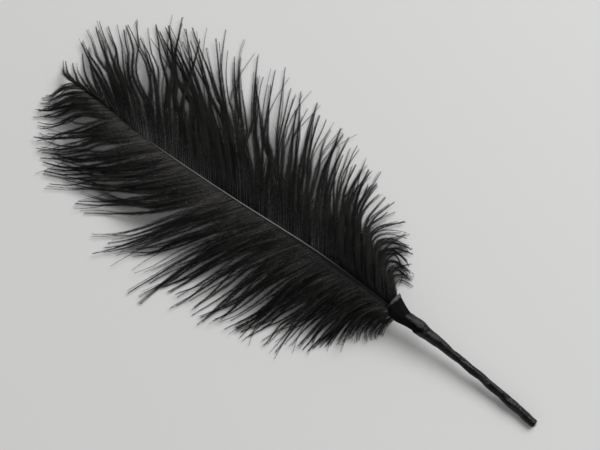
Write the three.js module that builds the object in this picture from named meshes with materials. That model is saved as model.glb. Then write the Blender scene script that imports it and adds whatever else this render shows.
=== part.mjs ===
// A dyed ostrich plume lying on a surface: a tapering shaft that arches over the surface, a row of
// long drooping barbs on each side of it, and a stem bound in tape that flares into a collar.
// Millimetres. +Z is up, the plume's tip points to -X and its cut end to +X.

import * as THREE from "three";

// ---- Driving dimensions ---------------------------------------------------------------------

// The shaft's centre line: distance from the cut end, sideways drift, height above the surface.
const SHAFT_PATH = [
  [0, -1.5, 2.65],
  [40, 1.2, 7.0],
  [80, 2.2, 12.0],
  [110, 1.4, 16.0],
  [140, 1.5, 18.5],
  [175, 1.0, 20.0],
  [240, -2.5, 18.5],
  [305, -3.5, 14.5],
  [345, -1.0, 10.0],
  [381, 2.0, 6.0],
];
const SHAFT_LENGTH = 381;

// The shaft's radius: distance from the cut end, radius.
const SHAFT_RADIUS = [
  [0, 1.9],
  [110, 1.6],
  [200, 1.0],
  [381, 0.35],
];
const SHAFT_STEPS = 48;
const SHAFT_SIDES = 10;

// The gap that keeps touching pieces apart.
const GAP = 0.35;

// The spiral tape: it leaves the very end of the quill bare.
const TAPE_START = 0.7;
const TAPE_END = 87.6;
const TAPE_STEPS = 36;
const TAPE_PITCH = 10;
const TAPE_RIDGE = 0.4;
const TAPE_RADIUS = [
  [0, 2.7],
  [14, 2.9],
  [24, 2.8],
  [40, 2.4],
  [60, 2.4],
  [75, 2.9],
  [88, 3.5],
];

// The collar: distance from the cut end, how far it sits off the shaft, half width, half height.
const COLLAR_SECTIONS = [
  [88.0, 0.3, 4.2, 4.0],
  [94.0, 0.3, 4.5, 4.2],
  [100.0, 0.6, 5.0, 4.4],
  [105.0, 1.4, 6.0, 4.8],
  [110.0, 2.3, 7.2, 5.2],
  [114.5, 2.8, 7.8, 5.6],
];
const COLLAR_SIDES = 20;

// Each row of barbs: distance from the cut end of the root, length seen from above, and how far the
// barb leans away from the plume's tip at its root, middle and tip, in degrees.
const RIGHT_BARBS = [
  [116, 44, 56, 106, 185],
  [119, 60, 44, 88, 155],
  [127, 68, 46, 66, 125],
  [138, 84, 45, 56, 92],
  [159, 104, 47, 68, 76],
  [183, 108, 45, 62, 77],
  [203, 110, 50, 55, 70],
  [220, 124, 45, 46, 52],
  [243, 134, 40, 33, 34],
  [270, 128, 40, 33, 36],
  [300, 114, 38, 34, 38],
  [319, 97, 36, 35, 34],
  [345, 68, 34, 34, 32],
  [360, 46, 24, 24, 24],
  [371, 38, 10, 14, 18],
  [380, 31, 3, 8, 14],
];
const LEFT_BARBS = [
  [116, 33, 92, 96, 150],
  [125, 50, 80, 72, 120],
  [133, 59, 80, 62, 76],
  [150, 67, 80, 66, 66],
  [170, 75, 75, 70, 66],
  [189, 86, 68, 58, 64],
  [205, 99, 76, 52, 56],
  [224, 112, 76, 44, 40],
  [243, 116, 78, 36, 26],
  [265, 111, 70, 34, 22],
  [285, 102, 68, 38, 20],
  [305, 86, 70, 38, 18],
  [321, 79, 64, 26, 22],
  [350, 58, 62, 38, 22],
  [371, 36, 48, 38, 30],
  [380, 30, 30, 28, 24],
];
const BARB_ROOT_SPACING = 5.5;
const BARB_STEPS = 10;

// Barbs gather into pointed locks, so every other rib of the row stops short of its neighbours.
const NOTCH_REACH = 0.86;

// The row's thickness: how far it stands over and hangs under its middle surface, at root and tip.
const OVER_ROOT = 1.2;
const OVER_MIDDLE = 2.4;
const OVER_TIP = 1.4;
const UNDER_ROOT = 1.6;
const UNDER_MIDDLE = 3.6;
const UNDER_TIP = 2.2;

// A barb droops from the shaft to the surface, and its outer part lies on the surface.
const BARB_REST_HEIGHT = 1.8;
const BARB_ARCH = 2.5;
const BARB_LANDING = 0.82;

// ---- Shared geometry ------------------------------------------------------------------------

const shaftCurve = new THREE.CatmullRomCurve3(
  SHAFT_PATH.map(([along, side, height]) => new THREE.Vector3(-along, side, height)),
  false,
  "catmullrom",
);

// Reads a value from the given column of a table whose first column rises.
function lookUp(table, along, column) {
  const last = table.length - 1;
  const found = table.findIndex((row) => row[0] >= along);
  const upper = found === -1 ? last : Math.max(found, 1);
  const lower = upper - 1;
  const share = (along - table[lower][0]) / (table[upper][0] - table[lower][0]);
  const clamped = THREE.MathUtils.clamp(share, 0, 1);
  return THREE.MathUtils.lerp(table[lower][column], table[upper][column], clamped);
}

// The point of the centre line at a distance from the cut end, with the directions across it.
function shaftFrame(along) {
  const last = SHAFT_PATH.length - 1;
  const found = SHAFT_PATH.findIndex((row) => row[0] >= along);
  const upper = found === -1 ? last : Math.max(found, 1);
  const [from, to] = [SHAFT_PATH[upper - 1][0], SHAFT_PATH[upper][0]];
  const share = (upper - 1 + (along - from) / (to - from)) / last;
  const centre = shaftCurve.getPoint(share);
  const tangent = shaftCurve.getTangent(share);
  const side = new THREE.Vector3(0, 0, 1).cross(tangent).normalize().negate();
  const up = tangent.clone().cross(side).normalize();
  return { centre, side, up };
}

// A ring of points around the shaft; radius(angle) gives [sideways, upwards] half sizes.
function shaftRing(along, sides, radius, offset = 0) {
  const { centre, side, up } = shaftFrame(along);
  return Array.from({ length: sides }, (_, index) => {
    const angle = (2 * Math.PI * index) / sides;
    const [wide, high] = radius(angle);
    return centre
      .clone()
      .addScaledVector(side, offset + wide * Math.cos(angle))
      .addScaledVector(up, high * Math.sin(angle));
  });
}

// Joins rings of points into one closed body. The rings either wrap round to the first ring or
// the two end rings are each closed by a strip across them.
function loft(rings, wrap = false) {
  const size = rings[0].length;
  const positions = rings.flat().flatMap((point) => point.toArray());
  const triangles = [];
  const spans = wrap ? rings.length : rings.length - 1;
  for (let ring = 0; ring < spans; ring += 1) {
    const here = ring * size;
    const next = ((ring + 1) % rings.length) * size;
    for (let index = 0; index < size; index += 1) {
      const after = (index + 1) % size;
      triangles.push(here + index, here + after, next + after);
      triangles.push(here + index, next + after, next + index);
    }
  }
  if (!wrap) {
    const lastRing = (rings.length - 1) * size;
    closeEnd(triangles, 0, size, true);
    closeEnd(triangles, lastRing, size, false);
  }
  const geometry = new THREE.BufferGeometry();
  geometry.setAttribute("position", new THREE.Float32BufferAttribute(positions, 3));
  geometry.setIndex(isInsideOut(positions, triangles) ? triangles.reverse() : triangles);
  geometry.computeVertexNormals();
  return geometry;
}

// Closes a ring by a strip of triangles between its two halves.
function closeEnd(triangles, start, size, reversed) {
  for (let index = 0; index < size / 2 - 1; index += 1) {
    const near = [start + index, start + index + 1];
    const far = [start + size - 1 - index, start + size - 2 - index];
    const strip = [
      [near[0], near[1], far[1]],
      [near[0], far[1], far[0]],
    ];
    strip.forEach((corners) => {
      triangles.push(...(reversed ? [...corners].reverse() : corners));
    });
  }
}

// A closed body whose faces point inwards has a negative volume.
function isInsideOut(positions, triangles) {
  const corner = (index) => new THREE.Vector3().fromArray(positions, 3 * index);
  let sixVolumes = 0;
  for (let index = 0; index < triangles.length; index += 3) {
    const [first, second, third] = triangles.slice(index, index + 3).map(corner);
    sixVolumes += first.dot(second.cross(third));
  }
  return sixVolumes < 0;
}

// Evenly spaced values from one end to the other, both ends included.
function spaced(from, to, steps) {
  return Array.from({ length: steps + 1 }, (_, index) => from + ((to - from) * index) / steps);
}

// ---- Shaft ----------------------------------------------------------------------------------

function makeShaft() {
  const rings = spaced(0, SHAFT_LENGTH, SHAFT_STEPS).map((along) => {
    const radius = lookUp(SHAFT_RADIUS, along, 1);
    return shaftRing(along, SHAFT_SIDES, () => [radius, radius]);
  });
  const material = new THREE.MeshStandardMaterial({ color: 0x1c1a19, roughness: 0.45 });
  return named("shaft", loft(rings), material);
}

// ---- Tape -----------------------------------------------------------------------------------

// A sleeve around the shaft: its outer rings run one way and its bore's rings run back.
function sleeve(stations, sides, outer, offset) {
  const outside = stations.map((along) => {
    return shaftRing(along, sides, (angle) => outer(along, angle), offset(along));
  });
  const inside = [...stations].reverse().map((along) => {
    const bore = lookUp(SHAFT_RADIUS, along, 1) + GAP;
    return shaftRing(along, sides, () => [bore, bore]);
  });
  return loft([...outside, ...inside], true);
}

// The wound ribbon: each turn's edge stands a little proud of the turn under it.
function makeStemTape() {
  const outer = (along, angle) => {
    const turn = along / TAPE_PITCH - angle / (2 * Math.PI);
    const ridge = TAPE_RIDGE * (turn - Math.floor(turn));
    const radius = lookUp(TAPE_RADIUS, along, 1) - TAPE_RIDGE / 2 + ridge;
    return [radius, radius];
  };
  const stations = spaced(TAPE_START, TAPE_END, TAPE_STEPS);
  const material = new THREE.MeshStandardMaterial({ color: 0x2a292b, roughness: 0.5 });
  return named("stem_tape", sleeve(stations, SHAFT_SIDES, outer, () => 0), material);
}

// The flared wrap that gathers the lowest barbs.
function makeCollarTape() {
  const stations = COLLAR_SECTIONS.map((section) => section[0]);
  const outer = (along) => {
    return [lookUp(COLLAR_SECTIONS, along, 2), lookUp(COLLAR_SECTIONS, along, 3)];
  };
  const offset = (along) => lookUp(COLLAR_SECTIONS, along, 1);
  const material = new THREE.MeshStandardMaterial({ color: 0x161617, roughness: 0.7 });
  return named("collar_tape", sleeve(stations, COLLAR_SIDES, outer, offset), material);
}

// ---- Barbs ----------------------------------------------------------------------------------

// The value at a share of the way along a curve that starts, passes its middle and ends as given.
function throughThree(start, middle, end, share) {
  const rest = 1 - share;
  return start * rest * (1 - 2 * share) + 4 * middle * share * rest + end * share * (2 * share - 1);
}

// The height of a barb's middle: level at the root, then down to the surface and along it.
function droopHeight(rootHeight, share) {
  const turn = Math.PI * Math.min(1, share / BARB_LANDING);
  const fallen = (1 - Math.cos(turn)) / 2;
  return THREE.MathUtils.lerp(rootHeight, BARB_REST_HEIGHT, fallen) + BARB_ARCH * Math.sin(turn);
}

// One rib of a row: a closed loop that runs out over the barb and back under it.
function barbRib(table, along, sign, reach) {
  const { centre } = shaftFrame(along);
  const length = lookUp(table, along, 1) * reach;
  const [root, middle, tip] = [2, 3, 4].map((column) => lookUp(table, along, column));
  const clearance = lookUp(SHAFT_RADIUS, along, 1) + GAP;
  const plan = new THREE.Vector2(centre.x, centre.y + sign * clearance);
  const top = [];
  const bottom = [];
  for (let step = 0; step <= BARB_STEPS; step += 1) {
    const share = step / BARB_STEPS;
    const height = droopHeight(centre.z, share);
    const over = throughThree(OVER_ROOT, OVER_MIDDLE, OVER_TIP, share);
    const under = throughThree(UNDER_ROOT, UNDER_MIDDLE, UNDER_TIP, share);
    top.push(new THREE.Vector3(plan.x, plan.y, height + over));
    bottom.push(new THREE.Vector3(plan.x, plan.y, Math.max(0, height - under)));
    const halfWay = Math.min(1, share + 0.5 / BARB_STEPS);
    const lean = THREE.MathUtils.degToRad(throughThree(root, middle, tip, halfWay));
    plan.x -= (Math.cos(lean) * length) / BARB_STEPS;
    plan.y += (sign * Math.sin(lean) * length) / BARB_STEPS;
  }
  return [...top, ...bottom.reverse()];
}

function makeBarbs(name, table, sign) {
  const from = table[0][0];
  const to = table[table.length - 1][0];
  const count = Math.round((to - from) / BARB_ROOT_SPACING);
  const rings = spaced(from, to, count).map((along, index) => {
    return barbRib(table, along, sign, index % 2 === 0 ? 1 : NOTCH_REACH);
  });
  const material = new THREE.MeshStandardMaterial({ color: 0x141312, roughness: 0.8 });
  return named(name, loft(rings), material);
}

// ---- Assembly -------------------------------------------------------------------------------

function named(name, geometry, material) {
  const mesh = new THREE.Mesh(geometry, material);
  mesh.name = name;
  return mesh;
}

const group = new THREE.Group();
group.add(makeShaft());
group.add(makeStemTape());
group.add(makeCollarTape());
group.add(makeBarbs("barbs_right", RIGHT_BARBS, 1));
group.add(makeBarbs("barbs_left", LEFT_BARBS, -1));

// The origin is under the middle of the whole plume, on the surface that it lies on.
const bounds = new THREE.Box3().setFromObject(group);
const middle = bounds.getCenter(new THREE.Vector3());
group.position.set(-middle.x, -middle.y, -bounds.min.z);

export default group;
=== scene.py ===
"""A black dyed ostrich plume that lies on a pale surface, with a tape-bound stem."""

import math

import bmesh
import bpy
import numpy as np
from mathutils import Matrix, Vector, noise


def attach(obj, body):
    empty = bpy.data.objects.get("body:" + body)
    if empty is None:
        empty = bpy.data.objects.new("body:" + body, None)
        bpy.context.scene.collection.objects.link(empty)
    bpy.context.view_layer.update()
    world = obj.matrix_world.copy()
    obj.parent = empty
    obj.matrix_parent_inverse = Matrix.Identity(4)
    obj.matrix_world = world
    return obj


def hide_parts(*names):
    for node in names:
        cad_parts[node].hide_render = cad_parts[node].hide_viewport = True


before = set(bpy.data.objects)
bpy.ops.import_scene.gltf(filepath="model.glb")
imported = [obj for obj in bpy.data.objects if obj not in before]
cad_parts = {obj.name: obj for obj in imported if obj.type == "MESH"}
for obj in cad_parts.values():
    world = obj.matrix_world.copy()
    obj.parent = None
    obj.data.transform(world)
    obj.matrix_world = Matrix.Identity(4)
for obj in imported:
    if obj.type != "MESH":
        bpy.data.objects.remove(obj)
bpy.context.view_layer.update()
MM = 0.001

# ---- Camera ---------------------------------------------------------------------------------
# The plume is seen from a little in front of straight above, with its tip away to the upper left
# and its stem to the lower right.

CAMERA_AZIMUTH = math.radians(37.5)
CAMERA_ELEVATION = math.radians(70.0)
CAMERA_DISTANCE = 0.556
CAMERA_TARGET = Vector((0.0113, 0.0089, 0.0))


def new_object(name, data):
    """An object of the scene, at its origin."""
    made = bpy.data.objects.new(name, data)
    bpy.context.scene.collection.objects.link(made)
    return made


towards_camera = Vector((
    math.sin(CAMERA_AZIMUTH) * math.cos(CAMERA_ELEVATION),
    -math.cos(CAMERA_AZIMUTH) * math.cos(CAMERA_ELEVATION),
    math.sin(CAMERA_ELEVATION),
))
camera_data = bpy.data.cameras.new("camera")
camera_data.lens = 50.0
camera_data.sensor_width = 36.0
camera = new_object("camera", camera_data)
camera.location = CAMERA_TARGET + towards_camera * CAMERA_DISTANCE
camera.rotation_euler = towards_camera.to_track_quat("Z", "Y").to_euler()
bpy.context.scene.camera = camera

# ---- Quill and rachis -----------------------------------------------------------------------
# The quill and rachis are one rod of keratin that thins from the cut end to the plume's tip. It
# is round and hollow at the cut end, and has a groove along its underside within the plume. The
# dye leaves it near black, and the bare cut end is pale. A paler line along the crown of the
# rachis is a painted highlight.


class Wire:
    """An output of a shader node, on which arithmetic adds Math nodes."""

    def __init__(self, tree, socket):
        self.tree = tree
        self.socket = socket

    def maths(self, operation, *values):
        node = self.tree.nodes.new("ShaderNodeMath")
        node.operation = operation
        for slot, value in zip(node.inputs, values):
            connect(self.tree, slot, value)
        return Wire(self.tree, node.outputs[0])

    def __add__(self, other):
        return self.maths("ADD", self, other)

    __radd__ = __add__

    def __sub__(self, other):
        return self.maths("SUBTRACT", self, other)

    def __rsub__(self, other):
        return self.maths("SUBTRACT", other, self)

    def __mul__(self, other):
        return self.maths("MULTIPLY", self, other)

    __rmul__ = __mul__

    def step(self, low, high):
        """0 up to low and 1 from high, with a soft rise between them."""
        share = self.maths("DIVIDE", self - low, high - low)
        share = self.maths("MINIMUM", self.maths("MAXIMUM", share, 0.0), 1.0)
        return share * share * (3.0 - 2.0 * share)


def connect(tree, slot, value):
    """Gives a socket a number, a colour or another node's output."""
    if isinstance(value, Wire):
        tree.links.new(value.socket, slot)
    else:
        slot.default_value = value


class Finish:
    """A material with one Principled shader."""

    def __init__(self, name):
        self.material = bpy.data.materials.new(name)
        self.material.use_nodes = True
        self.tree = self.material.node_tree
        self.shader = self.tree.nodes["Principled BSDF"]

    def node(self, kind, settings, sockets, output):
        """Adds a node: its settings, what its sockets take by name or number, and its output."""
        node = self.tree.nodes.new(kind)
        for name, value in settings.items():
            setattr(node, name, value)
        for name, value in sockets.items():
            connect(self.tree, node.inputs[name], value)
        return Wire(self.tree, node.outputs[output])

    def mix(self, share, first, second):
        """A colour between two others."""
        sockets = {0: share, 6: (*first, 1) if isinstance(first, tuple) else first,
                   7: (*second, 1) if isinstance(second, tuple) else second}
        return self.node("ShaderNodeMix", {"data_type": "RGBA"}, sockets, 2)

    def place(self):
        """The position on the piece, in metres."""
        return self.node("ShaderNodeTexCoord", {}, {}, "Object")

    def noise(self, vector, scale, detail, stretch=(1.0, 1.0, 1.0)):
        stretched = self.node("ShaderNodeMapping", {}, {"Vector": vector, "Scale": stretch}, 0)
        return self.node(
            "ShaderNodeTexNoise", {}, {"Vector": stretched, "Scale": scale, "Detail": detail}, "Fac",
        )

    def bump(self, height, strength, distance):
        sockets = {"Height": height, "Strength": strength, "Distance": distance}
        self.set(Normal=self.node("ShaderNodeBump", {}, sockets, "Normal"))

    def set(self, **values):
        for name, value in values.items():
            connect(self.tree, self.shader.inputs[name.replace("_", " ")], value)
        return self.material


# Distance from the cut end, sideways drift and height, as in the CAD part.
SHAFT_PATH = np.array([
    (0, -1.5, 2.65),
    (40, 1.2, 7.0),
    (80, 2.2, 12.0),
    (110, 1.4, 16.0),
    (140, 1.5, 18.5),
    (175, 1.0, 20.0),
    (240, -2.5, 18.5),
    (305, -3.5, 14.5),
    (345, -1.0, 10.0),
    (381, 2.0, 6.0),
]) * MM
SHAFT_RADIUS = np.array([(0, 1.9), (110, 1.6), (200, 1.0), (381, 0.35)]) * MM
SHAFT_LENGTH = SHAFT_PATH[-1, 0]
QUILL_BARE = 0.8 * MM
BORE_DEPTH = 3.0 * MM
GROOVE_DEPTH = 0.3
GROOVE_WIDTH = math.radians(28)
GROOVE_START = 125 * MM
GROOVE_FULL = 160 * MM
# Where the painted highlight along the crown begins and is full, then where it fades and is gone.
CROWN_HIGHLIGHT_STARTS = (0.140, 0.205)
CROWN_HIGHLIGHT_ENDS = (0.280, 0.325)


def cut_end_centre():
    """The centre of the shaft's cut face, from its CAD node."""
    corners = np.array([v.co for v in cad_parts["shaft"].data.vertices])
    face = corners[corners[:, 0] > corners[:, 0].max() - 0.5 * MM]
    return (face.min(axis=0) + face.max(axis=0)) / 2


cut_end = cut_end_centre()


def shaft_point(along):
    """The centre line at distances from the cut end, as the CAD part's spline gives it."""
    along = np.atleast_1d(along)
    stations = SHAFT_PATH[:, 0]
    knots = np.vstack([2 * SHAFT_PATH[0] - SHAFT_PATH[1], SHAFT_PATH,
                       2 * SHAFT_PATH[-1] - SHAFT_PATH[-2]])
    span = np.clip(np.searchsorted(stations, along) - 1, 0, len(stations) - 2)
    share = (along - stations[span]) / (stations[span + 1] - stations[span])
    before, start, end, after = [knots[span + step].T for step in range(4)]
    curve = 0.5 * (
        2 * start
        + (end - before) * share
        + (2 * before - 5 * start + 4 * end - after) * share**2
        + (3 * start - before - 3 * end + after) * share**3
    ).T
    offset = cut_end - SHAFT_PATH[0] * (-1, 1, 1)
    return curve * (-1, 1, 1) + offset


def shaft_radius(along):
    return np.interp(along, SHAFT_RADIUS[:, 0], SHAFT_RADIUS[:, 1])


def shaft_frame(along):
    """The centre line's point with the directions across it, sideways and upwards."""
    centre, ahead = shaft_point([along, along + 0.5 * MM])
    tangent = Vector(ahead - centre).normalized()
    side = tangent.cross(Vector((0, 0, 1))).normalized()
    side = side if side.y > 0 else -side
    up = side.cross(tangent)
    return Vector(centre), side, up if up.z > 0 else -up


def around_stem(along, angle, radius):
    """A place off the centre line: angle 0 is the plume's right side, a quarter turn is up."""
    centre, side, up = shaft_frame(along)
    return centre + side * (radius * math.cos(angle)) + up * (radius * math.sin(angle))


def smooth(low, high, value):
    """0 up to low and 1 from high, with a soft rise between them."""
    share = np.clip((value - low) / (high - low), 0, 1)
    return share * share * (3 - 2 * share)


def swept_wall(stations, segments, place):
    """A wall of rings, open at both ends. place(station, angle) gives each corner.

    The layer "crown" says how far up its ring a corner is, from -1 to 1.
    """
    wall = bmesh.new()
    bmesh.ops.create_circle(wall, segments=segments, radius=1.0)
    edges = list(wall.edges)
    for number in range(1, len(stations)):
        made = bmesh.ops.extrude_edge_only(wall, edges=edges)["geom"]
        corners = [item for item in made if isinstance(item, bmesh.types.BMVert)]
        edges = [item for item in made if isinstance(item, bmesh.types.BMEdge)]
        for corner in corners:
            corner.co.z = number
    crown = wall.verts.layers.float.new("crown")
    for corner in wall.verts:
        station = stations[round(corner.co.z)]
        corner[crown] = corner.co.y
        corner.co = place(station, math.atan2(corner.co.y, corner.co.x))
    bmesh.ops.recalc_face_normals(wall, faces=wall.faces)
    return wall


def close_ends(wall):
    bmesh.ops.holes_fill(wall, edges=wall.edges)
    bmesh.ops.recalc_face_normals(wall, faces=wall.faces)


def finished_piece(name, wall, material, node):
    """Turns a bmesh into a smooth object that stands for a CAD node."""
    mesh = bpy.data.meshes.new(name)
    wall.to_mesh(mesh)
    wall.free()
    mesh.polygons.foreach_set("use_smooth", [True] * len(mesh.polygons))
    mesh.materials.append(material)
    piece = new_object(name, mesh)
    smoothing = piece.modifiers.new("smooth", "SUBSURF")
    smoothing.levels = 1
    smoothing.render_levels = 1
    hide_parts(node)
    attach(piece, "root")
    return piece


def quill_corner(station, angle):
    """A corner of the rod. Stations are places along it with a share of its radius."""
    along, size = station
    under = (angle + math.pi / 2) / GROOVE_WIDTH
    groove = GROOVE_DEPTH * math.exp(-under * under) * smooth(GROOVE_START, GROOVE_FULL, along)
    return around_stem(along, angle, shaft_radius(along) * size * (1 - groove))


def quill_finish():
    finish = Finish("dyed_quill")
    vector = finish.place()
    x = finish.node("ShaderNodeSeparateXYZ", {}, {0: vector}, "X")
    along = cut_end[0] - x
    fibre = finish.noise(vector, 1.0, 3.0, (60.0, 1500.0, 1500.0))
    crown = finish.node("ShaderNodeAttribute", {"attribute_name": "crown"}, {}, "Fac")
    # A paler line along the crown of the rachis is a painted highlight; the bare cut end is the
    # quill's own pale colour.
    painted_highlight = along.step(*CROWN_HIGHLIGHT_STARTS) * (1.0 - along.step(*CROWN_HIGHLIGHT_ENDS)) * crown.step(0.82, 0.96)
    bare = 1.0 - along.step(QUILL_BARE, QUILL_BARE + 0.2 * MM)
    dyed = finish.mix(painted_highlight * (0.6 + 0.4 * fibre), (0.008, 0.0075, 0.007), (0.24, 0.235, 0.225))
    finish.bump(fibre, 0.25, 0.1 * MM)
    return finish.set(
        Base_Color=finish.mix(bare, dyed, (0.50, 0.48, 0.38)),
        Roughness=0.5 + 0.2 * fibre,
        Specular_IOR_Level=0.2,
    )


# From the bottom of the bore, out over the cut end's rim and along the rod to its tip.
quill_stations = [(BORE_DEPTH, 0.3), (BORE_DEPTH, 0.5), (0.3 * MM, 0.56), (0.0, 0.62), (0.0, 0.9)]
quill_stations += [(0.2 * MM, 1.0), (1.0 * MM, 1.0)]
quill_stations += [(along, 1.0) for along in np.linspace(6 * MM, SHAFT_LENGTH - 1.0 * MM, 64)]
quill_stations += [(SHAFT_LENGTH, 0.4)]
quill_wall = swept_wall(quill_stations, 20, quill_corner)
close_ends(quill_wall)
quill = finished_piece("quill_and_rachis", quill_wall, quill_finish(), "shaft")

# ---- Collar ---------------------------------------------------------------------------------
# The lowest barbs are gathered under a wrap of black waxed tape, stretched smooth over them. Its
# mouth flares towards one side, where the tape's edge is turned over into a thick soft lip.

# Distance from the cut end, then how far the collar reaches from the shaft's centre line on the
# flared side, on the other side, and above and below.
COLLAR_SECTIONS = np.array([
    (84.0, 3.0, 3.2, 2.8),
    (90.0, 3.5, 3.8, 3.4),
    (96.0, 3.9, 4.2, 3.8),
    (99.0, 4.2, 4.6, 4.1),
    (102.0, 5.2, 5.2, 4.4),
    (105.0, 6.4, 5.6, 4.7),
    (108.0, 7.8, 5.7, 5.0),
    (110.0, 8.8, 5.8, 5.2),
    (114.5, 10.6, 5.8, 5.5),
]) * MM
COLLAR_START = COLLAR_SECTIONS[0, 0]
COLLAR_MOUTH = 114.1 * MM
MOUTH_CORNER = 1.3 * MM
MOUTH_FRONT = math.radians(50)
MOUTH_LAG = 7.5 * MM
COLLAR_WALL = 0.45 * MM
COLLAR_FOLDS = 9
COLLAR_FOLD_DEPTH = 0.24 * MM
COLLAR_FOLDS_START = 98 * MM
COLLAR_FOLDS_FULL = 112 * MM
LIP_THICKNESS = 1.3 * MM
LIP_WIDEST = 2.7 * MM
LIP_NARROWEST = 0.5 * MM
LIP_WIDEST_AT = math.radians(35)
LIP_OVERHANG = 0.3 * MM
LIP_RING = 3.0


def tape_finish(name, colour, painted_highlight, roughness, gloss, crumple, painted_lit_side=None):
    """Waxed crepe tape: fine stretch lines, soft blotches of wax and shallow crumples. The wax
    blotches are painted in a paler colour that stands for patches of highlight.

    With the last argument, two places across the plume, the tape is painted black up to the first,
    as shade on the side away from the light.
    """
    finish = Finish(name)
    vector = finish.place()
    lines = finish.noise(vector, 1.0, 3.0, (420.0, 2600.0, 2600.0))
    wax = finish.noise(vector, 240.0, 2.0)
    # Painted highlight: the wax blotches take the paler colour.
    shade = finish.mix(wax.step(0.45, 0.70), colour, painted_highlight)
    if painted_lit_side:
        # Painted shade: black on the side away from the light.
        y = finish.node("ShaderNodeSeparateXYZ", {}, {0: vector}, "Y")
        shade = finish.mix(y.step(*painted_lit_side), (0.0022, 0.0021, 0.0023), shade)
    finish.bump(lines * 0.4 + wax * crumple, 0.8, 0.6 * MM)
    return finish.set(
        Base_Color=shade,
        Roughness=roughness + 0.22 * (wax - 0.5) + 0.1 * (lines - 0.5),
        Specular_IOR_Level=gloss,
    )


def collar_reaches(along):
    """How far the collar reaches on its flared side, on its other side, and above and below."""
    stations, *reaches = COLLAR_SECTIONS.T
    return [np.interp(along, stations, reach) for reach in reaches]


def collar_place(along, angle, out):
    """A place on the collar's outside, or further out by a distance."""
    flared, other, high = collar_reaches(along)
    fold = COLLAR_FOLD_DEPTH * math.sin(COLLAR_FOLDS * angle + 2.0)
    fold *= smooth(COLLAR_FOLDS_START, COLLAR_FOLDS_FULL, along)
    centre, side, up = shaft_frame(along)
    reach = (flared + other) / 2 + fold + out
    sideways = (flared - other) / 2 + reach * math.cos(angle)
    return centre + side * sideways + up * ((high + fold + out) * math.sin(angle))


def mouth_line(angle):
    """How far from the cut end the collar's edge is. It runs back round the lower left side."""
    turned = abs((angle - MOUTH_FRONT + math.pi) % (2 * math.pi) - math.pi)
    lag = MOUTH_LAG * smooth(math.radians(75), math.radians(135), turned)
    return COLLAR_MOUTH - lag - MOUTH_CORNER * np.maximum(0.0, np.cos(angle))


def collar_corner(share, angle):
    return collar_place(COLLAR_START + (mouth_line(angle) - COLLAR_START) * share, angle, 0.0)


collar_wall = swept_wall(np.linspace(0, 1, 16), 40, collar_corner)
bmesh.ops.solidify(collar_wall, geom=collar_wall.faces, thickness=COLLAR_WALL)
collar_material = tape_finish(
    "collar_tape", (0.0020, 0.0019, 0.0020), (0.0040, 0.0038, 0.0040), 0.75, 0.08, 0.3,
)
collar = finished_piece("taped_collar", collar_wall, collar_material, "collar_tape")


def lip_corner(angle, section):
    """A corner of the lip: its angle round the collar, then round its own thickness."""
    flare = max(0.0, (math.cos(angle - LIP_WIDEST_AT) + 0.6) / 1.6)
    width = LIP_NARROWEST + (LIP_WIDEST - LIP_NARROWEST) * flare**1.5
    thick = LIP_THICKNESS * (0.3 + 0.7 * flare) * (0.75 + 0.25 * math.cos(section))
    pinch = 1 + 0.12 * math.sin(5 * angle) + 0.08 * math.sin(11 * angle + 1.0)
    back = width * (0.5 - 0.5 * math.cos(section)) * pinch
    out = thick * (0.5 * math.sin(section) + 0.15)
    return collar_place(mouth_line(angle) + LIP_OVERHANG - back, angle, out)


lip = bmesh.new()
bmesh.ops.create_circle(
    lip, segments=12, radius=1.0,
    matrix=Matrix.Translation((LIP_RING, 0, 0)) @ Matrix.Rotation(math.pi / 2, 4, "X"),
)
bmesh.ops.spin(
    lip, geom=list(lip.verts) + list(lip.edges), cent=(0, 0, 0), axis=(0, 0, 1),
    angle=2 * math.pi, steps=56, use_merge=True,
)
for corner in lip.verts:
    x, y, z = corner.co
    corner.co = lip_corner(math.atan2(y, x), math.atan2(z, math.hypot(x, y) - LIP_RING))
bmesh.ops.recalc_face_normals(lip, faces=lip.faces)
# The lip is paler than the rest of the tape. The tape is stretched there, and the lip's bluish
# highlight is painted into its colour, while its side away from the light is painted black.
lip_material = tape_finish(
    "stretched_tape_painted_highlight", (0.050, 0.052, 0.058), (0.078, 0.080, 0.090), 0.6, 0.3, 0.3,
    painted_lit_side=(-5.0 * MM, -2.5 * MM),
)
rolled_lip = finished_piece("rolled_lip", lip, lip_material, "collar_tape")

# ---- Stem tape ------------------------------------------------------------------------------
# A ribbon of the same tape is wound in a spiral from the collar down the bare quill. Each turn
# laps over the last, so its free edge stands proud, and the wrap is lumpy where it puckers.

STEM_RADIUS = np.array([
    (0, 2.1), (8, 2.15), (18, 2.25), (26, 2.2), (40, 2.05), (55, 2.0), (66, 2.25), (76, 2.7),
    (84, 3.2), (96, 4.0),
]) * MM
TURN_PITCH = 15.5 * MM
RIBBON_WIDTH = 21.0 * MM
RIBBON_LIFT = 0.22 * MM
RIBBON_CROWN = 0.60 * MM
RIBBON_START = 103.0 * MM
RIBBON_TURNS = 7.0
RIBBON_START_ANGLE = math.radians(110)
RIBBON_THICKNESS = 0.22 * MM
RIBBON_OVER_COLLAR = 0.35 * MM
PUCKER_LENGTH = 9 * MM
# Where the ribbon is bunched, just below the collar.
BUNCH_AT = 89 * MM
BUNCH_LENGTH = 4 * MM
BUNCH_HEIGHT = 0.8 * MM
UNDER_LAYER_DEPTH = 0.3 * MM
UNDER_LAYER_END = 95 * MM


def stem_radius(along):
    return np.interp(along, STEM_RADIUS[:, 0], STEM_RADIUS[:, 1])


def pucker(along, angle):
    """How far the wrap bulges or dips at a place on the stem."""
    place = Vector((along / PUCKER_LENGTH, 1.1 * math.cos(angle), 1.1 * math.sin(angle)))
    bulge = 0.6 * noise.noise(place) + 0.35 * noise.noise(place * 2.7)
    return bulge * MM * smooth(0, 12 * MM, along)


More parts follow.
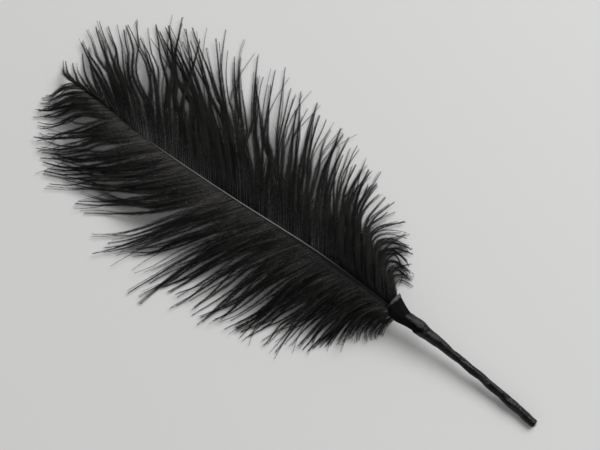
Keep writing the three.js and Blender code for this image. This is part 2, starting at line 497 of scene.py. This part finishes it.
def stem_reach(along, angle):
    """The radius under the ribbon: the stem's own, or the collar's where it runs below."""
    if along < COLLAR_START:
        return stem_radius(along)
    collar_reach = (collar_place(along, angle, RIBBON_OVER_COLLAR) - shaft_frame(along)[0]).length
    return max(stem_radius(along), collar_reach)


def ribbon_corner(turned, across):
    """A corner of the ribbon: turned from 0 to 1 along it, across from 0 at its free edge."""
    angle = RIBBON_START_ANGLE - 2 * math.pi * RIBBON_TURNS * turned
    along = RIBBON_START - TURN_PITCH * RIBBON_TURNS * turned - RIBBON_WIDTH * across
    lift = RIBBON_LIFT * (1 - across) ** 1.5 + RIBBON_CROWN * math.sin(math.pi * across)
    near_bunch = math.exp(-((along - BUNCH_AT) / BUNCH_LENGTH) ** 2)
    bulge = BUNCH_HEIGHT * near_bunch * max(0.0, math.cos(angle - 0.4))
    return around_stem(along, angle, stem_reach(along, angle) + lift + bulge + pucker(along, angle))


stem_tape = bmesh.new()
bmesh.ops.create_grid(stem_tape, x_segments=230, y_segments=11, size=0.5)
for corner in stem_tape.verts:
    corner.co = ribbon_corner(corner.co.x + 0.5, corner.co.y + 0.5)
    corner.co.z = max(corner.co.z, 1.2 * RIBBON_THICKNESS)
bmesh.ops.bisect_plane(
    stem_tape, geom=list(stem_tape.verts) + list(stem_tape.edges) + list(stem_tape.faces),
    plane_co=Vector(cut_end) - Vector((QUILL_BARE, 0, 0)), plane_no=(1, 0, 0), clear_outer=True,
)
bmesh.ops.recalc_face_normals(stem_tape, faces=stem_tape.faces)
bmesh.ops.solidify(stem_tape, geom=stem_tape.faces, thickness=RIBBON_THICKNESS)
# The paler lilac of the blotches paints in the wrap's patchy lilac highlight.
stem_material = tape_finish(
    "stem_tape", (0.0018, 0.0017, 0.0023), (0.0110, 0.0095, 0.0145), 0.24, 0.22, 1.6,
)
wound_ribbon = finished_piece("wound_ribbon", stem_tape, stem_material, "stem_tape")


def under_layer_corner(station, angle):
    """A corner of the first turns of tape. Stations are places with a share of their depth."""
    along, depth = station
    quill_reach = shaft_radius(along)
    wrap = stem_radius(along) - UNDER_LAYER_DEPTH
    outside = max(wrap + 0.7 * pucker(along, angle), quill_reach + 0.1 * MM)
    inside = quill_reach - 0.1 * MM
    return around_stem(along, angle, outside + (inside - outside) * depth)


under_start = QUILL_BARE + 0.2 * MM
under_stations = [(under_start, 1.0)]
under_stations += [(along, 0.0) for along in np.linspace(under_start, UNDER_LAYER_END, 60)]
under_stations += [(UNDER_LAYER_END, 1.0)]
under_wall = swept_wall(under_stations, 24, under_layer_corner)
close_ends(under_wall)
under_layer = finished_piece("tape_under_layer", under_wall, stem_material, "stem_tape")

# ---- Barbs ----------------------------------------------------------------------------------
# Each side of the rachis carries a row of long, soft barbs. A barb is a thin blade with two
# fringes of hair-like barbules that don't hook together, so the barbs gather into loose locks.

BARB_POINTS = 14
BARB_SHARES = np.linspace(0, 1, BARB_POINTS)[None, :]

# Distance of the root from the cut end, length seen from above, how far the barb leans away from
# the plume's tip at its root, middle and tip, in degrees, and how far its end curls over.
RIGHT_BARBS = np.array([
    (107, 38, 42, 53, 58, 112),
    (112, 49, 50, 53, 60, 118),
    (116, 57, 50, 54, 66, 110),
    (121, 62, 50, 58, 78, 92),
    (128, 68, 52, 58, 80, 50),
    (138, 83, 52, 54, 70, 20),
    (159, 93, 52, 62, 74, 5),
    (183, 104, 50, 60, 76, 0),
    (203, 118, 52, 54, 64, 0),
    (216, 126, 52, 50, 58, 0),
    (226, 132, 52, 45, 50, 0),
    (237, 140, 52, 40, 40, 0),
    (248, 146, 52, 34, 30, 0),
    (262, 134, 50, 35, 29, 0),
    (276, 118, 50, 49, 55, 0),
    (291, 117, 48, 45, 50, 0),
    (303, 111, 46, 41, 46, 0),
    (316, 104, 44, 37, 42, 0),
    (335, 89, 38, 34, 34, 0),
    (347, 63, 30, 28, 34, 0),
    (354, 50, 12, 22, 44, 0),
    (366, 37, -12, 14, 44, 0),
    (380, 29, -38, 14, 50, 0),
], dtype=float)
LEFT_BARBS = np.array([
    (99, 19, 14, 46, 72, 45),
    (104, 31, 20, 50, 76, 42),
    (107, 41, 26, 54, 74, 34),
    (112, 49, 38, 60, 74, 15),
    (120, 55, 38, 70, 82, 5),
    (128, 62, 44, 71, 84, 0),
    (136, 71, 54, 70, 77, 0),
    (150, 76, 58, 69, 72, 0),
    (170, 86, 60, 70, 73, 0),
    (189, 88, 56, 59, 70, 0),
    (205, 101, 60, 57, 66, 0),
    (213, 82, 62, 54, 56, 0),
    (222, 103, 63, 49, 43, 0),
    (238, 100, 66, 54, 45, 0),
    (239, 108, 72, 32, 22, 0),
    (247, 98, 70, 35, 20, 0),
    (254, 102, 67, 36, 23, 0),
    (265, 103, 64, 35, 24, 0),
    (285, 95, 62, 39, 24, 0),
    (305, 80, 62, 39, 24, 0),
    (321, 73, 62, 38, 24, 0),
    (350, 52, 60, 38, 30, 0),
    (362, 42, 58, 44, 35, 0),
    (371, 34, 57, 48, 38, 0),
    (380, 27, 66, 52, 36, 0),
], dtype=float)

# Distance from the cut end and the spacing of the barbs there.
RIGHT_SPACING = np.array([
    (107, 0.3), (114, 0.15), (128, 0.2), (146, 0.46), (200, 0.62), (222, 0.48), (250, 0.5),
    (264, 0.72), (350, 0.84), (358, 1.3),
])
LEFT_SPACING = np.array([
    (99, 0.13), (112, 0.2), (150, 0.4), (200, 0.56), (300, 0.7), (360, 0.42),
])

# Where a row is parted: distance of the root from the cut end, the shares of the barb's length
# between which it gapes, and how wide.
RIGHT_PARTINGS = [
    (124.5, 0.50, 1.40, 4.0),
    (133, 0.60, 1.40, 4.0),
    (192, 0.60, 0.95, 2.5),
    (213, 0.28, 0.50, 5.0),
    (219, 0.26, 0.52, 6.0),
    (233, 0.42, 0.62, 2.5),
    (241, 0.30, 0.60, 5.0),
    (269, 0.28, 0.58, 9.0),
    (291, 0.32, 0.64, 5.0),
    (303, 0.32, 0.76, 9.0),
]
LEFT_PARTINGS = [
    (178, 0.38, 0.58, 2.0),
    (197, 0.60, 1.40, 4.0),
    (211, 0.70, 1.60, 3.0),
    (221, 0.28, 0.44, 2.5),
    (238.5, 0.50, 1.60, 3.0),
    (252, 0.55, 1.10, 3.0),
    (308, 0.26, 0.55, 5.0),
    (337, 0.20, 0.70, 8.0),
]

# How the barbs gather: barbs to a strand, strands to a lock, and the shares that stray or cross.
STRAND_SIZES = (2, 5)
LOCK_SIZES = (1, 3)
STRAY_SHARE = 0.04
STRAY_CURL = (-20, 45)
CROSSING_SHARE = 0.03
CROSSING_ANGLE = 8.0
CROSSING_LIFT = 1.2 * MM
# Barbs shorter than this, in millimetres, turn less from their row's lean.
CALM_LENGTH = 70

# How far locks, strands and single barbs turn from their row's lean, in degrees, and between
# which shares of their length the turn sets in.
LEAN_SPREADS = (
    ("lock", 3.0, 0.1, 0.5),
    ("lock", 4.0, 0.4, 1.0),
    ("strand", 3.5, 0.1, 0.6),
    ("strand", 5.0, 0.5, 1.0),
    ("barb", 2.5, 0.0, 0.5),
    ("barb", 3.5, 0.7, 1.0),
)

# How the barbs lie: the height of their tips, the share of their length at which they land, and
# the least height of any point.
REST_HEIGHT = 1.4 * MM
LANDING = 0.85
LEAST_HEIGHT = 0.5 * MM

# Shares of the shaft's radius at which the barbs grow: how high, and how far to the side near
# the collar and how much further beyond it.
ROOT_RISE = 0.98
ROOT_SIDE = 0.12
ROOT_SIDE_GAIN = 0.24
ROOT_SIDE_START = 130 * MM
ROOT_SIDE_FULL = 190 * MM

# How the lowest barbs leave the collar: spread over its mouth, let down in it, and drawn inside
# its wall up to a margin beyond the mouth. They are held together less than the others.
MOUTH_SPREAD_RIGHT = 1.6 * MM
MOUTH_SPREAD_LEFT = 4.0 * MM
MOUTH_DROP = 3.2 * MM
MOUTH_BLEND = 4 * MM
COVER_MARGIN = 1.0 * MM
COLLAR_ROOM = 0.82
COVERED_SHARE = 0.4
HOLD_STARTS = 92 * MM
HOLD_FULL = 120 * MM

BARBULE_LENGTH = 7.5 * MM
BARBULE_GAP = 0.80 * MM
BARBULE_LEAST_HEIGHT = 0.15 * MM
WILD_SHARE = 0.05
WILD_ANGLE = (12, 28)
PRESSED = 0.1
STREAK_PITCH = 1.9 * MM


def through_three(start, middle, end, share):
    """A curve that starts, passes its middle and ends at the given values."""
    rest = 1 - share
    return start * rest * (1 - 2 * share) + 4 * middle * share * rest + end * share * (2 * share - 1)


def group_numbers(rng, count, smallest, largest):
    """Which group of neighbours each member of a row belongs to."""
    sizes = rng.integers(smallest, largest + 1, count)
    return np.repeat(np.arange(count), sizes)[:count]


def split_groups(group, parted):
    """Numbers the groups anew, so that none spans a parting."""
    changed = (np.diff(group) > 0) | (np.diff(parted) > 0)
    return np.concatenate([[0], np.cumsum(changed)])


def directions(lines):
    """Unit vectors along each barb, across it and up from it."""
    forward = np.gradient(lines, axis=1)
    forward /= np.linalg.norm(forward, axis=2, keepdims=True)
    across = np.cross((0.0, 0.0, 1.0), forward)
    across /= np.linalg.norm(across, axis=2, keepdims=True)
    return forward, across, np.cross(forward, across)


def draw_together(lines, group, grip):
    """Pulls the barbs of each group towards their middle line by a share at each point."""
    for number in np.unique(group):
        members = group == number
        centre = lines[members].mean(axis=0, keepdims=True)
        lines[members] += (centre - lines[members]) * grip[members]


def barb_roots(table, spacing, rng):
    """Where on the shaft the barbs of a row grow."""
    stations = np.linspace(table[0, 0], table[-1, 0], 1000)
    density = 1 / np.interp(stations, spacing[:, 0], spacing[:, 1])
    passed = np.cumsum(density) * (stations[1] - stations[0])
    order = np.arange(int(passed[-1])) + rng.uniform(-0.3, 0.3, int(passed[-1]))
    return np.interp(order, passed, stations) * MM


def row_thirds(roots, table):
    """Splits a row into three parts with the same length of barb in all: 0, 1 or 2 for each root."""
    total = np.cumsum(np.interp(roots / MM, table[:, 0], table[:, 1]))
    return np.minimum(3 * total / total[-1], 2.5).astype(int)


def in_collar(places, margin):
    """How far out in the collar places are, with its wall at 1, and whether it covers them.

    A place counts as covered up to the margin beyond the mouth. The last result is the shaft's
    centre line beside each place.
    """
    here = cut_end[0] - places[..., 0]
    centre = shaft_point(here.ravel()).reshape(places.shape)
    flared, other, high = collar_reaches(here)
    sideways = places[..., 1] - centre[..., 1] - (flared - other) / 2
    sideways = sideways / ((flared + other) / 2)
    upward = (places[..., 2] - centre[..., 2]) / high
    covered = here < mouth_line(np.arctan2(upward, sideways)) + margin
    return np.hypot(sideways, upward), covered, centre


class Row:
    """The barbs of one part of a row, and the strands and locks that they gather into."""

    def __init__(self, along, table, partings, sign, rng):
        self.along = along
        self.table = table
        self.partings = partings
        self.sign = sign
        self.rng = rng
        self.count = len(along)
        parted = np.searchsorted([parting[0] * MM for parting in partings], along)
        strand = split_groups(group_numbers(rng, self.count, *STRAND_SIZES), parted)
        lock = split_groups(group_numbers(rng, strand[-1] + 1, *LOCK_SIZES)[strand], parted)
        self.groups = {"barb": np.arange(self.count), "strand": strand, "lock": lock}
        self.stray = rng.random(self.count) < STRAY_SHARE

    def vary(self, kind, spread):
        """A random amount for each barb, which it shares with its lock or strand."""
        group = self.groups[kind]
        return self.rng.normal(0, spread, group[-1] + 1)[group][:, None]

    def set_leans(self):
        """Each barb's length, and how it leans away from the plume's tip at each of its points."""
        share, vary = BARB_SHARES, self.vary
        length, root, middle, tip, curl = [
            np.interp(self.along / MM, self.table[:, 0], self.table[:, column])[:, None]
            for column in range(1, 6)
        ]
        self.calm = np.clip(length / CALM_LENGTH, 0.35, 1.0)
        ragged = 1.03 + vary("lock", 0.03) + vary("strand", 0.04) - np.abs(vary("barb", 0.11))
        self.length = length * MM * ragged
        lean = through_three(root, middle, tip, share)
        lean = lean + curl * (1 + vary("strand", 0.3)) * smooth(0.48, 0.96, share)
        for kind, spread, start, end in LEAN_SPREADS:
            lean = lean + self.calm * vary(kind, spread) * smooth(start, end, share)
        stray_curl = np.where(self.stray, self.rng.uniform(*STRAY_CURL, self.count), 0.0)[:, None]
        lean = lean + stray_curl * smooth(0.5, 1.0, share)
        strand = self.groups["strand"]
        chances = [CROSSING_SHARE, 1 - 2 * CROSSING_SHARE, CROSSING_SHARE]
        crossing = self.rng.choice([-1.0, 0.0, 1.0], strand[-1] + 1, p=chances)
        self.crossing = crossing[strand][:, None]
        self.lean = np.radians(lean + self.crossing * CROSSING_ANGLE * smooth(0.15, 0.5, share))

    def set_lines(self, arch, mouth):
        """Lays the barbs out from the shaft, over the arch and down to the surface.

        The lowest barbs leave the collar at its mouth, spread over the height of its opening.
        """
        share, vary = BARB_SHARES, self.vary
        step = self.length / (BARB_POINTS - 1)
        forward = np.cumsum(np.cos(self.lean) * step, axis=1) - np.cos(self.lean[:, :1]) * step
        outward = np.cumsum(np.sin(self.lean) * step, axis=1) - np.sin(self.lean[:, :1]) * step
        roots = shaft_point(self.along)
        radius = shaft_radius(self.along)[:, None]
        root_height = roots[:, 2:] + ROOT_RISE * radius
        turn = np.pi * np.minimum(1, share / LANDING)
        fallen = (1 - np.cos(turn)) / 2
        rise = arch + vary("lock", 1.0 * MM) + vary("strand", 0.5 * MM)
        height = root_height + (REST_HEIGHT - root_height) * fallen + rise * np.sin(turn)
        lift = np.abs(vary("lock", 0.8 * MM) + vary("strand", 1.0 * MM))
        height = height + (lift + np.abs(self.crossing) * CROSSING_LIFT) * smooth(0.1, 0.6, share)

        mouth_spread = MOUTH_SPREAD_RIGHT if self.sign > 0 else MOUTH_SPREAD_LEFT
        in_mouth = 1 - smooth(mouth - MOUTH_BLEND, mouth, self.along)
        in_mouth = self.rng.random(self.count)[:, None] * in_mouth[:, None]
        gain = ROOT_SIDE_GAIN * smooth(ROOT_SIDE_START, ROOT_SIDE_FULL, self.along)
        root_side = radius * (ROOT_SIDE + gain)[:, None]
        sideways = root_side + outward + mouth_spread * in_mouth
        self.lines = np.stack([
            roots[:, :1] - forward,
            roots[:, 1:2] + self.sign * sideways,
            height - MOUTH_DROP * in_mouth * (1 - share),
        ], axis=2)

    def gather(self):
        """Gives the strands a slight wave, and draws the barbs together into strands and locks."""
        share, vary = BARB_SHARES, self.vary
        self.across = directions(self.lines)[1]
        size = self.calm * vary("strand", 0.8 * MM)
        wave = size * np.sin(2 * np.pi * (share * (1.6 + vary("strand", 0.4)) + vary("strand", 1.0)))
        self.lines += self.across * (wave * smooth(0.1, 0.5, share))[:, :, None]
        hold = np.where(self.stray, 0.2, 1.0)[:, None]
        hold = hold * smooth(HOLD_STARTS, HOLD_FULL, self.along)[:, None]
        tight = hold * self.rng.uniform(0.75, 0.98, self.count)[:, None] * smooth(0.1, 0.62, share)
        draw_together(self.lines, self.groups["strand"], tight[:, :, None])
        loose = hold * np.clip(0.22 + vary("lock", 0.15), 0, 0.6) * smooth(0.4, 0.9, share)
        draw_together(self.lines, self.groups["lock"], loose[:, :, None])

    def part(self):
        """Opens the row's partings between its locks."""
        lock = self.groups["lock"]
        lock_along = np.array([self.along[lock == number].mean() for number in range(lock[-1] + 1)])
        for place, start, end, width in self.partings:
            away = lock_along[lock] - place * MM
            reach = (5 + 2 * width) * MM
            spread = 0.5 * width * MM * np.sign(away) * np.maximum(0, 1 - np.abs(away) / reach)
            bump = np.sin(np.pi * np.clip((BARB_SHARES - start) / (end - start), 0, 1))
            self.lines += self.across * (self.sign * spread[:, None] * bump)[:, :, None]
        self.lines[:, :, 2] = np.maximum(self.lines[:, :, 2], LEAST_HEIGHT)

    def fit_collar(self):
        """Draws what the collar covers inside its wall."""
        out, covered, centre = in_collar(self.lines, COVER_MARGIN)
        outside = covered & (BARB_SHARES < COVERED_SHARE)
        pull = np.where(outside, np.minimum(1, COLLAR_ROOM / out), 1)[:, :, None]
        centre = centre[:, :, 1:]
        self.lines[:, :, 1:] = centre + (self.lines[:, :, 1:] - centre) * pull


def barb_lanes(along):
    """The start and width of each barb's lane on the texture, by the place of its root."""
    edges = np.append(along, 2 * along[-1] - along[-2])
    return (edges[:-1] - edges[0]) / (edges[-1] - edges[0]), np.diff(edges) / (edges[-1] - edges[0])


def barb_blades(row):
    """Closed three-sided blades that thin to a point: corners, triangles and UV."""
    lines, count, points = row.lines, row.count, BARB_POINTS
    _, across, up = directions(lines)
    share = BARB_SHARES[:, :, None]
    # Half of the blade's width and height, which shrink towards its tip.
    wide = (0.20 - 0.16 * share) * MM
    high = (0.16 - 0.12 * share) * MM
    corners = np.stack([
        lines + across * wide - up * high,
        lines + up * high,
        lines - across * wide - up * high,
    ], axis=2)
    corners = corners.reshape(count, points * 3, 3)
    triangles = []
    for point in range(points - 1):
        for side in range(3):
            here, there = 3 * point + side, 3 * point + (side + 1) % 3
            triangles += [(here, there, there + 3), (here, there + 3, here + 3)]
    end = 3 * (points - 1)
    triangles += [(2, 1, 0), (end, end + 1, end + 2)]
    triangles = np.array(triangles)[None] + (np.arange(count) * points * 3)[:, None, None]
    lane, width = [value[:, None, None] for value in barb_lanes(row.along)]
    u, v = np.broadcast_arrays(lane + width * np.array([0.10, 0.20, 0.30]), share)
    uv = np.stack([u, v], axis=3).reshape(-1, 2)
    return corners.reshape(-1, 3), triangles.reshape(-1, 3), uv


def barb_barbules(row):
    """The hairs along both edges of every barb: closed spikes of four triangles.

    Inside the collar they are pressed flat.
    """
    lines, lengths, rng = row.lines, row.length[:, 0], row.rng
    forward, across, up = directions(lines)
    counts = np.maximum((lengths / BARBULE_GAP).astype(int), 4)
    barb = np.repeat(np.arange(row.count), counts * 2)
    start = np.repeat(np.cumsum(counts * 2) - counts * 2, counts * 2)
    order = np.arange(len(barb)) - start
    side = np.where(order % 2 == 0, 1.0, -1.0)[:, None]
    share = (order // 2 + rng.uniform(0, 1, len(barb))) / counts[barb]
    share = np.clip(share**0.9, 0.002, 0.985)
    place = share * (BARB_POINTS - 1)
    low = place.astype(int)
    part = (place - low)[:, None]

    def at(values):
        return values[barb, low] * (1 - part) + values[barb, low + 1] * part

    root, ahead, beside, above = at(lines), at(forward), at(across), at(up)
    is_wild = rng.random(len(barb)) < WILD_SHARE
    wild = np.where(is_wild, rng.uniform(*WILD_ANGLE, len(barb)), 0.0)
    angle = through_three(20.0, 14.0, 8.0, share) + rng.normal(0, 3.5, len(barb))
    angle = np.radians(angle + wild)[:, None]
    tilt = np.radians(rng.uniform(-50, 30, len(barb)))[:, None]
    beside = np.cos(tilt) * side * beside + np.sin(tilt) * above
    way = np.cos(angle) * ahead + np.sin(angle) * beside
    way /= np.linalg.norm(way, axis=1, keepdims=True)
    reach = smooth(-0.08, 0.30, share) * (1 - 0.75 * smooth(0.46, 1.0, share))
    reach = reach * np.clip(lengths[barb] / (80 * MM), 0.75, 1.0)
    out, covered, _ = in_collar(root, 0.0)
    reach = reach * np.where(covered & (out < 1), PRESSED, 1.0)
    reach = (BARBULE_LENGTH * reach * rng.uniform(0.6, 1.15, len(barb)))[:, None]
    flat = np.cross(way, above)
    flat /= np.linalg.norm(flat, axis=1, keepdims=True)
    thick = np.cross(flat, way)
    slim = (0.13 - 0.07 * share)[:, None] * MM
    corners = np.stack([
        root + flat * slim,
        root - flat * slim,
        root + thick * 0.7 * slim,
        root + way * reach,
    ], axis=1)
    corners[:, :, 2] = np.maximum(corners[:, :, 2], BARBULE_LEAST_HEIGHT)
    base = (np.arange(len(barb)) * 4)[:, None, None]
    triangles = np.array([(0, 1, 2), (0, 3, 1), (1, 3, 2), (2, 3, 0)])[None] + base
    lane, width = [value[barb, None] for value in barb_lanes(row.along)]
    u = lane + width * np.array([0.5, 0.5, 0.6, 0.95])[None]
    rise = share[:, None] + np.array([0.0, 0.004, 0.002, 0.006])[None]
    uv = np.stack([u, np.clip(rise, 0, 1)], axis=2).reshape(-1, 2)
    return corners.reshape(-1, 3), triangles.reshape(-1, 3), uv


def joined_mesh(name, parts):
    """One mesh from parts of corners, triangles and UV."""
    corners, triangles, uvs, start = [], [], [], 0
    for part_corners, part_triangles, part_uv in parts:
        corners.append(part_corners)
        triangles.append(part_triangles + start)
        uvs.append(part_uv)
        start += len(part_corners)
    corners, triangles, uvs = np.vstack(corners), np.vstack(triangles), np.vstack(uvs)
    mesh = bpy.data.meshes.new(name)
    mesh.vertices.add(len(corners))
    mesh.vertices.foreach_set("co", corners.astype(np.float32).ravel())
    mesh.loops.add(triangles.size)
    mesh.loops.foreach_set("vertex_index", triangles.astype(np.int32).ravel())
    mesh.polygons.add(len(triangles))
    mesh.polygons.foreach_set("loop_start", np.arange(0, triangles.size, 3, dtype=np.int32))
    mesh.polygons.foreach_set("use_smooth", np.ones(len(triangles), dtype=bool))
    layer = mesh.uv_layers.new(name="OFBake")
    layer.data.foreach_set("uv", uvs[triangles.ravel()].astype(np.float32).ravel())
    mesh.update(calc_edges=True)
    return new_object(name, mesh)


def barb_finish(name, root_colour_as_lit, lit, row_length):
    """Dyed fibre, near black. Lighter and darker streaks from barb to barb are painted highlight on
    the strands and painted shade between them, and the tips are darkest, in patches that differ at
    random.

    The roots take a colour lit for their row, paler on the left where the light catches them.
    Painted shade darkens them near the collar, up to the first distance from the cut end in lit,
    and fades out by the second.
    """
    finish = Finish(name)
    vector = finish.place()
    patch = finish.noise(vector, 45.0, 3.0)
    grain = finish.noise(vector, 900.0, 2.0)
    uv = finish.node("ShaderNodeUVMap", {"uv_map": "OFBake"}, {}, "UV")
    share = finish.node("ShaderNodeSeparateXYZ", {}, {0: uv}, "Y")
    streak = finish.noise(uv, 1.0, 2.0, (row_length / STREAK_PITCH, 3.0, 1.0))
    x = finish.node("ShaderNodeSeparateXYZ", {}, {0: vector}, "X")
    # Painted highlight and shade: streaks along the barbs, lighter where a strand catches the light
    # and darker between strands.
    sheen = streak.step(0.41, 0.58) * (0.7 + 0.3 * grain)
    # Painted shade on the roots near the collar, over the roots' colour as lit for their row.
    collar_shade = (1.0 - (cut_end[0] - x).step(*lit)) * (1.0 - share.step(0.06, 0.25))
    root_shade_colour = tuple(0.08 * channel for channel in root_colour_as_lit)
    near_root = finish.mix(sheen * (1.0 - 0.95 * collar_shade), root_shade_colour, root_colour_as_lit)
    # Beyond the roots, the painted streaks run from near black to dark grey.
    middle = finish.mix(sheen, (0.0030, 0.0028, 0.0025), (0.0300, 0.0285, 0.0260))
    inner = finish.mix(share.step(0.05, 0.40), near_root, middle)
    tips = finish.mix(patch.step(0.35, 0.7), (0.0025, 0.0024, 0.0023), (0.0080, 0.0076, 0.0070))
    return finish.set(
        Base_Color=finish.mix(share.step(0.50, 0.85), inner, tips),
        Roughness=0.40 + 0.2 * grain,
        Specular_IOR_Level=0.2,
    )


# Each row's name, lengths and leans, spacing, partings, rise of the arch above a straight fall,
# colour of the roots as lit for that row, paler on the left where the light catches them, where
# their painted shade near the collar begins to lift and is gone, side, and a seed for each third.
for side, table, spacing, partings, arch, root_colour_as_lit, lit, sign, seeds in (
    ("right", RIGHT_BARBS, RIGHT_SPACING, RIGHT_PARTINGS, 4.0 * MM,
     (0.0170, 0.0160, 0.0142), (0.200, 0.300), 1, (361, 394, 102)),
    ("left", LEFT_BARBS, LEFT_SPACING, LEFT_PARTINGS, 7.0 * MM,
     (0.0720, 0.0675, 0.0630), (0.155, 0.260), -1, (446, 558, 72)),
):
    mouth = mouth_line(0.0 if sign > 0 else math.pi)
    roots = barb_roots(table, spacing, np.random.default_rng(seeds[0]))
    third = row_thirds(roots, table)
    for number, (part, seed) in enumerate(zip(("base", "middle", "tip"), seeds)):
        along = roots[third == number]
        row = Row(along, table, partings, sign, np.random.default_rng(seed))
        row.set_leans()
        row.set_lines(arch, mouth)
        row.gather()
        row.part()
        row.fit_collar()
        piece = joined_mesh(f"barbs_{side}_{part}", [barb_blades(row), barb_barbules(row)])
        finish = barb_finish(f"dyed_{piece.name}", root_colour_as_lit, lit, np.ptp(along))
        piece.data.materials.append(finish)
        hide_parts(f"barbs_{side}")
        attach(piece, "root")

# ---- Surface and light ----------------------------------------------------------------------
# The plume lies on a plain pale surface, in soft daylight from one side.

floor_sheet = bmesh.new()
bmesh.ops.create_grid(floor_sheet, x_segments=1, y_segments=1, size=3.0)
floor_mesh = bpy.data.meshes.new("floor")
floor_sheet.to_mesh(floor_mesh)
floor_sheet.free()
floor = new_object("floor", floor_mesh)
floor_finish = Finish("pale_surface")
floor_mesh.materials.append(floor_finish.set(Base_Color=(0.74, 0.735, 0.725, 1), Roughness=0.9))

LIGHT_AZIMUTH = math.radians(73.0)
LIGHT_ELEVATION = math.radians(50.0)
LIGHT_DISTANCE = 3.2

light_data = bpy.data.lights.new("window", "AREA")
light_data.shape = "DISK"
light_data.size = 2.4
light_data.energy = 78.0
light_data.color = (0.98, 0.99, 1.0)
light = new_object("window", light_data)
from_light = Vector((
    math.cos(LIGHT_AZIMUTH) * math.cos(LIGHT_ELEVATION),
    math.sin(LIGHT_AZIMUTH) * math.cos(LIGHT_ELEVATION),
    math.sin(LIGHT_ELEVATION),
))
light.location = from_light * LIGHT_DISTANCE
light.rotation_euler = from_light.to_track_quat("Z", "Y").to_euler()

world = bpy.data.worlds.new("daylight")
world.use_nodes = True
background = world.node_tree.nodes["Background"].inputs
background["Color"].default_value = (1.0, 1.0, 1.0, 1.0)
background["Strength"].default_value = 0.33
bpy.context.scene.world = world
bpy.context.scene.view_settings.view_transform = "Standard"
